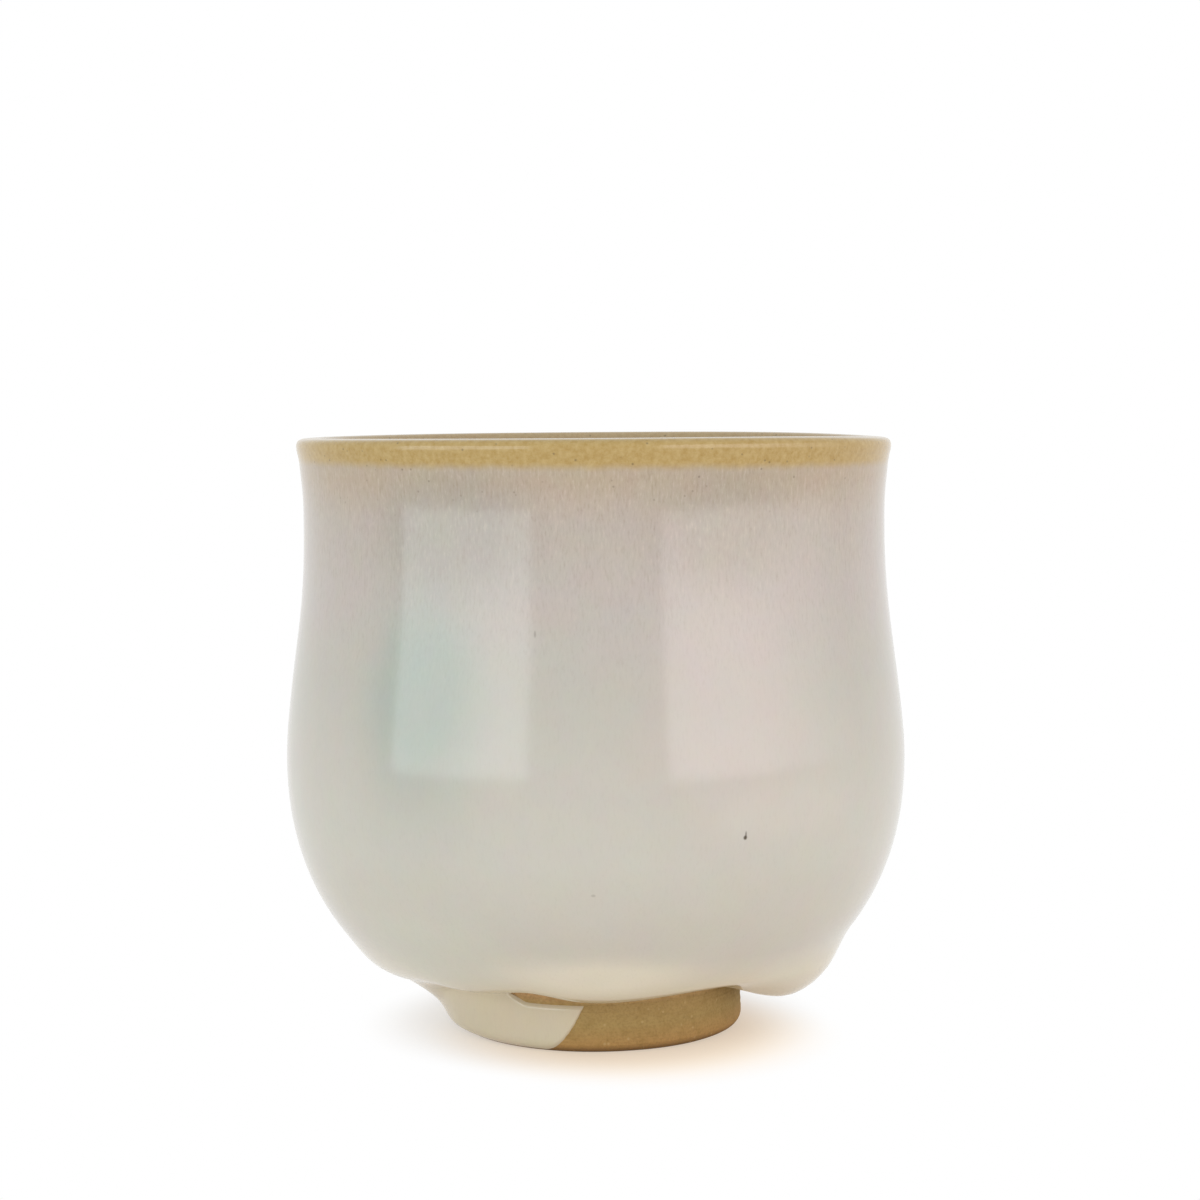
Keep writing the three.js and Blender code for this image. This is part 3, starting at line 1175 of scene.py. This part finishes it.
# %% [markdown]
# ## The floor
# The cup stands on matt white paper. One large face is enough for it, because nothing but the
# cup's own shadow falls on it.

# %% Lay the floor
FLOOR_SIZE = 3000.0

floor_shell = bmesh.new()
bmesh.ops.create_grid(floor_shell, x_segments=1, y_segments=1, size=FLOOR_SIZE * MM)
floor_mesh = bpy.data.meshes.new("floor")
floor_shell.to_mesh(floor_mesh)
floor_shell.free()
floor = bpy.data.objects.new("floor", floor_mesh)
bpy.context.scene.collection.objects.link(floor)
print(f"Floor reaches {FLOOR_SIZE} mm each way")

# %% [markdown]
# ## Paper that fades to white
# The photograph's table is so bright that it is plain white a finger's breadth from the foot, with
# a faint warm shadow close in. More light would wash out the glaze. Instead the paper, as the camera
# and reflections see it, blends towards a plain white glow with the distance from the cup. To all
# other light it stays matt paper, which catches the shadow and throws light back.

# %% Colour the paper
FLOOR_COLOUR = "#f6ece0"
WHITE = (1.0, 1.0, 1.0, 1.0)
WHITE_NEAR = 0.55  # share of glow in the floor beside the foot
WHITE_MIDDLE, WHITE_FROM, WHITE_TO = (-0.5, 0.0, 0.0), 19.5, 35.0
WARM_GLOW = "#ffeed9"  # from light that the bare clay throws back
WARM_MIDDLE, WARM_FROM, WARM_TO = (5.0, -9.0, 0.0), 14.0, 31.0

paper, paper_tree, paper_mm = new_finish("white_paper")


def beyond(middle, start, end, low=0.0):
    """A share of the floor that rises to 1 with the distance from a middle."""
    far = add(paper_tree, "VectorMath", {0: paper_mm, 1: middle}, operation="DISTANCE")
    share = add(
        paper_tree,
        "MapRange",
        {"Value": far.outputs["Value"], "From Min": start, "From Max": end, "To Min": low},
        interpolation_type="SMOOTHSTEP",
    )
    return share.outputs["Result"]


whiteness = beyond(WHITE_MIDDLE, WHITE_FROM, WHITE_TO, WHITE_NEAR)
paper_shader = add(paper_tree, "BsdfDiffuse", {"Color": linear(FLOOR_COLOUR)})
glow_colour = add(
    paper_tree,
    "Mix",
    {0: beyond(WARM_MIDDLE, WARM_FROM, WARM_TO), MIX_A: linear(WARM_GLOW), MIX_B: WHITE},
    data_type="RGBA",
)
paper_glow = add(
    paper_tree, "Emission", {"Color": glow_colour.outputs[MIX_RESULT], "Strength": 1.0}
)
print(f"Paper plain white about {WHITE_TO} mm from the middle")

# %% [markdown]
# ## What is seen, and what only lights
# Cycles follows each ray of light, and its Light Path node tells where a ray comes from. A ray from
# the camera, from a mirror-like surface or through a clear one shows a thing as it looks. All other
# rays only carry light. The paper's glow is mixed in for the first kind alone, so that it adds no
# light to the cup.

# %% Blend the paper's glow in
def seen_directly(tree):
    """1 for what the camera, a reflection or a clear body shows, 0 for what only lights."""
    path = add(tree, "LightPath")
    mirrored = add(
        tree,
        "Math",
        {0: path.outputs["Is Glossy Ray"], 1: path.outputs["Is Transmission Ray"]},
        operation="MAXIMUM",
    )
    seen = add(
        tree,
        "Math",
        {0: path.outputs["Is Camera Ray"], 1: mirrored.outputs["Value"]},
        operation="MAXIMUM",
    )
    return seen.outputs["Value"]


blend = add(
    paper_tree,
    "Math",
    {0: seen_directly(paper_tree), 1: whiteness},
    operation="MULTIPLY",
)
paper_blend = add(
    paper_tree,
    "MixShader",
    {
        0: blend.outputs["Value"],
        1: paper_shader.outputs["BSDF"],
        2: paper_glow.outputs["Emission"],
    },
)
add(paper_tree, "OutputMaterial", {"Surface": paper_blend.outputs["Shader"]})
floor_mesh.materials.append(paper)
print(f"{paper.name}: {len(paper_tree.nodes)} nodes")

# %% [markdown]
# ## The light
# Two soft panels stand left and right of the camera, as tall windows would, and their reflections
# are the two pale fields on the belly with a duller strip between them. The right one fades out
# towards the side, in narrow panels that are each a little dimmer. Their lower edges stand on the
# table, which is why the fields end where the belly turns down. A lamp's power is spread over its
# face, so it is worked out from how bright the panel should look.

# %% Set up the panels
PANELS = [
    {"name": "left_panel", "turn": (-76, -23.5), "tint": (0.88, 0.96, 1.0), "glow": 2.3},
    {"name": "right_panel", "turn": (25, 56), "tint": (1.0, 0.95, 0.95), "glow": 2.2},
]
FADE_TO = 106  # degrees, where the fade at the right panel's side ends
FADE_STEPS = 7
PANEL_DISTANCE = 700.0
PANEL_HEIGHT = 305.0

panels = list(PANELS)
right = PANELS[-1]
fade_edges = places(right["turn"][1], FADE_TO, FADE_STEPS)
for step, turn in enumerate(zip(fade_edges, fade_edges[1:])):
    glow = right["glow"] * (1 - (step + 0.5) / FADE_STEPS)  # as at the narrow panel's middle
    panels.append({**right, "name": f"fade_panel_{step}", "turn": turn, "glow": glow})
for panel in panels:
    start, end = panel["turn"]
    facing, half = (start + end) / 2, math.radians(end - start) / 2
    lamp = bpy.data.lights.new(panel["name"], "AREA")
    lamp.shape = "RECTANGLE"
    lamp.size = 2 * PANEL_DISTANCE * math.tan(half) * MM
    lamp.size_y = PANEL_HEIGHT * MM
    lamp.color = panel["tint"]
    lamp.energy = panel["glow"] * math.pi * lamp.size * lamp.size_y
    stand = bpy.data.objects.new(panel["name"], lamp)
    stand.matrix_world = (
        Matrix.Rotation(math.radians(facing), 4, "Z")
        @ Matrix.Translation(Vector((0, -PANEL_DISTANCE, PANEL_HEIGHT / 2)) * MM)
        @ Matrix.Rotation(math.radians(90), 4, "X")
    )
    stand.visible_camera = False
    bpy.context.scene.collection.objects.link(stand)
print(f"{len(panels)} panels, {PANEL_HEIGHT} mm high")

# %% [markdown]
# ## The sky
# A sky of even light fills in from all round. Seen directly it is plain white, as the paper is far
# from the cup, and as light it is dimmer. Both levels are kept plain, so that a colour looks about
# as it is written.

# %% Add the sky
SKY_FILL = 0.71

sky = bpy.data.worlds.new("even_sky")
bpy.context.scene.world = sky
sky.use_nodes = True
sky_tree = sky.node_tree
sky_tree.nodes.clear()
strength = add(
    sky_tree, "MapRange", {"Value": seen_directly(sky_tree), "To Min": SKY_FILL, "To Max": 1.0}
)
background = add(
    sky_tree, "Background", {"Color": WHITE, "Strength": strength.outputs["Result"]}
)
add(sky_tree, "OutputWorld", {"Surface": background.outputs["Background"]})
bpy.context.scene.view_settings.view_transform = "Standard"
print(f"{sky.name}: lights at {SKY_FILL}")
